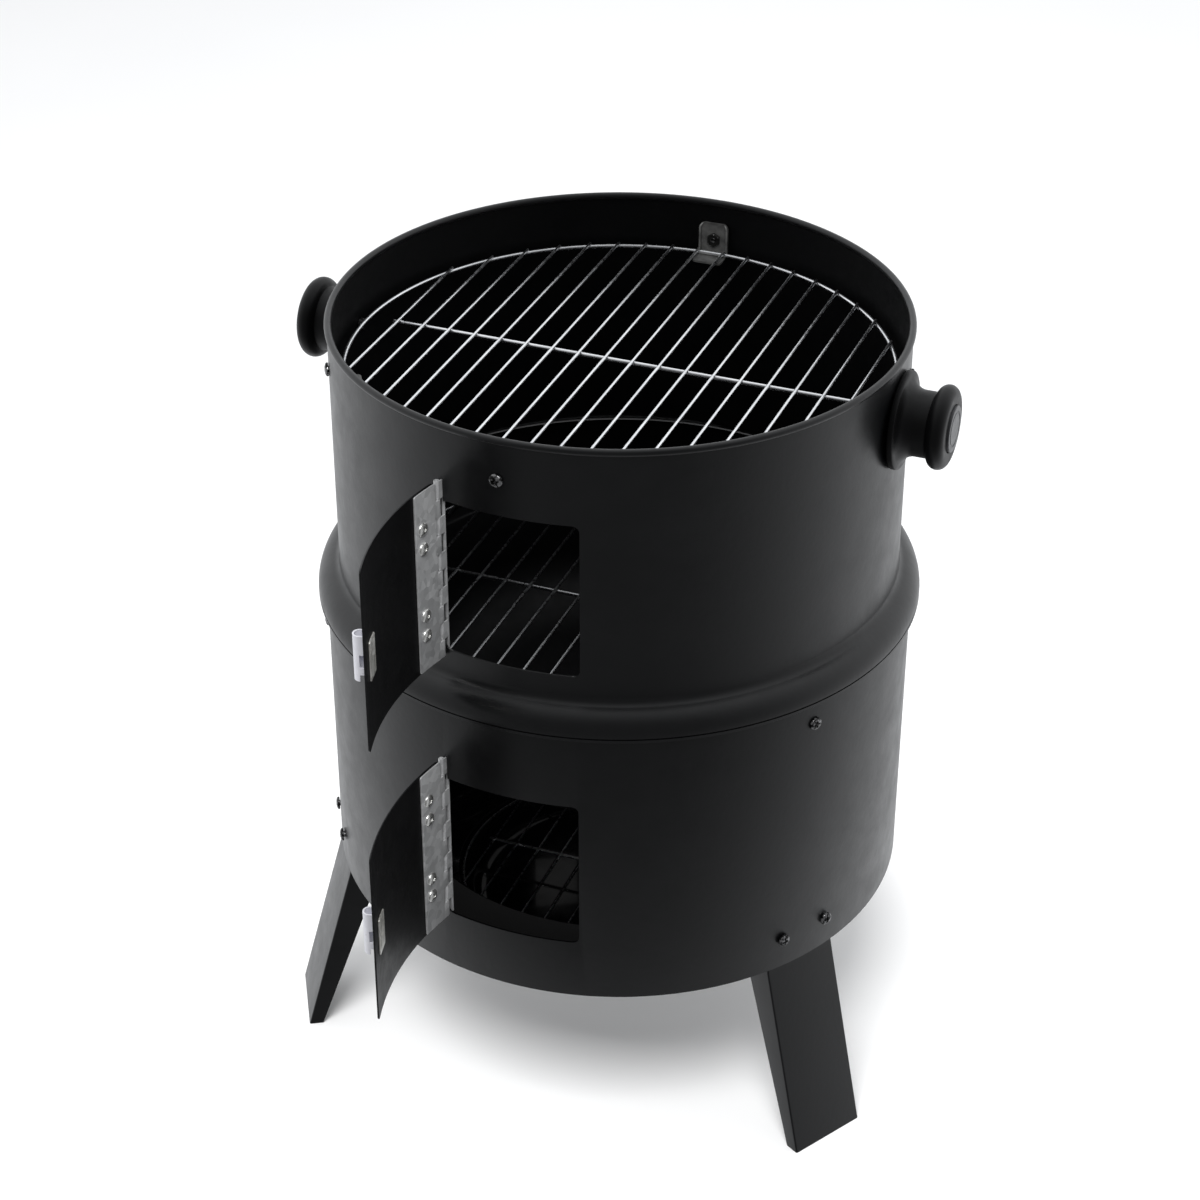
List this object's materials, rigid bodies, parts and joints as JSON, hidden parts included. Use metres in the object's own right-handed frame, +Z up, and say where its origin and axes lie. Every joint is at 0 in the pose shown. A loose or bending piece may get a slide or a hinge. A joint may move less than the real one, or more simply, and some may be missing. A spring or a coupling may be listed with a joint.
{
  "type": "vertical water smoker",
  "caption": "Upright charcoal water smoker in black steel: stacked rings on splayed legs, hinged access doors, side knobs, bowls and wire grates inside.",
  "frame": {"origin": "bottom centre of the bounding box with both doors standing open; the rings' common axis is parallel to Z and 37 mm behind it", "axes": "+Z up, -Y towards the front where both doors are, +X to the right as seen from the front"},
  "size_m": [0.429, 0.5154, 0.5191],
  "materials": {
    "black_powder_coat": "satin",
    "gloss_enamel": "gloss",
    "chrome_wire": "polished",
    "galvanised_steel": "satin",
    "dull_steel": "satin",
    "bright_zinc_plate": "satin",
    "black_phenolic": "satin",
    "black_screws": "satin"
  },
  "bodies": {
    "lower_body": {"lower_body": "black_powder_coat", "leg_front_right": "black_powder_coat", "leg_screw_front_right_a": "black_screws", "leg_screw_front_right_b": "black_screws", "leg_front_left": "black_powder_coat", "leg_screw_front_left_a": "black_screws", "leg_screw_front_left_b": "black_screws", "leg_rear": "black_powder_coat", "leg_screw_rear_a": "black_screws", "leg_screw_rear_b": "black_screws", "lower_bracket_front_right": "dull_steel", "lower_bracket_screw_front_right": "black_screws", "lower_bracket_nut_front_right": "dull_steel", "lower_bracket_front_left": "dull_steel", "lower_bracket_screw_front_left": "black_screws", "lower_bracket_nut_front_left": "dull_steel", "lower_bracket_rear": "dull_steel", "lower_bracket_screw_rear": "black_screws", "lower_bracket_nut_rear": "dull_steel", "lower_hinge_body_leaf": "galvanised_steel", "lower_hinge_pin": "galvanised_steel"},
    "upper_body": {"upper_body": "black_powder_coat", "upper_bracket_front": "dull_steel", "upper_bracket_screw_front": "black_screws", "upper_bracket_nut_front": "dull_steel", "upper_bracket_left": "dull_steel", "upper_bracket_screw_left": "black_screws", "upper_bracket_nut_left": "dull_steel", "upper_bracket_rear": "dull_steel", "upper_bracket_screw_rear": "black_screws", "upper_bracket_nut_rear": "dull_steel", "upper_bracket_right": "dull_steel", "upper_bracket_screw_right": "black_screws", "upper_bracket_nut_right": "dull_steel", "knob_left": "black_phenolic", "knob_disc_left": "black_phenolic", "knob_screw_left": "black_screws", "knob_right": "black_phenolic", "knob_disc_right": "black_phenolic", "knob_screw_right": "black_screws", "upper_hinge_body_leaf": "galvanised_steel", "upper_hinge_pin": "galvanised_steel"},
    "upper_door": {"upper_door": "black_powder_coat", "upper_hinge_door_leaf": "galvanised_steel", "upper_door_pull": "bright_zinc_plate", "upper_door_catch": "galvanised_steel"},
    "lower_door": {"lower_door": "black_powder_coat", "lower_hinge_door_leaf": "galvanised_steel", "lower_door_pull": "bright_zinc_plate", "lower_door_catch": "galvanised_steel"},
    "upper_grate": {"upper_grate": "chrome_wire"},
    "lower_grate": {"lower_grate": "chrome_wire"},
    "water_bowl": {"water_bowl": "gloss_enamel"},
    "charcoal_bowl": {"charcoal_bowl": "gloss_enamel"},
    "charcoal_grate": {"charcoal_grate": "chrome_wire"}
  },
  "joints": [
    {"name": "upper_ring_lift", "type": "slide", "parent": "lower_body", "child": "upper_body", "axis": [0, 0, 1], "range_m": [0, 0.25]},
    {"name": "upper_door_hinge", "type": "hinge", "parent": "upper_body", "child": "upper_door", "pos_m": [-0.04536, -0.13967, 0.42175], "axis": [0, 0, -1], "range_deg": [-91.5, 78]},
    {"name": "lower_door_hinge", "type": "hinge", "parent": "lower_body", "child": "lower_door", "pos_m": [-0.04436, -0.14919, 0.23325], "axis": [0, 0, -1], "range_deg": [-91.5, 78]},
    {"name": "upper_grate_lift", "type": "slide", "parent": "upper_body", "child": "upper_grate", "axis": [0, 0, 1], "range_m": [0, 0.15]},
    {"name": "water_bowl_lift", "type": "slide", "parent": "lower_body", "child": "water_bowl", "axis": [0, 0, 1], "range_m": [0, 0.05]},
    {"name": "lower_grate_lift", "type": "slide", "parent": "water_bowl", "child": "lower_grate", "axis": [0, 0, 1], "range_m": [0, 0.07]},
    {"name": "charcoal_bowl_lift", "type": "slide", "parent": "lower_body", "child": "charcoal_bowl", "axis": [0, 0, 1], "range_m": [0, 0.06]},
    {"name": "charcoal_grate_lift", "type": "slide", "parent": "charcoal_bowl", "child": "charcoal_grate", "axis": [0, 0, 1], "range_m": [0, 0.05]}
  ]
}
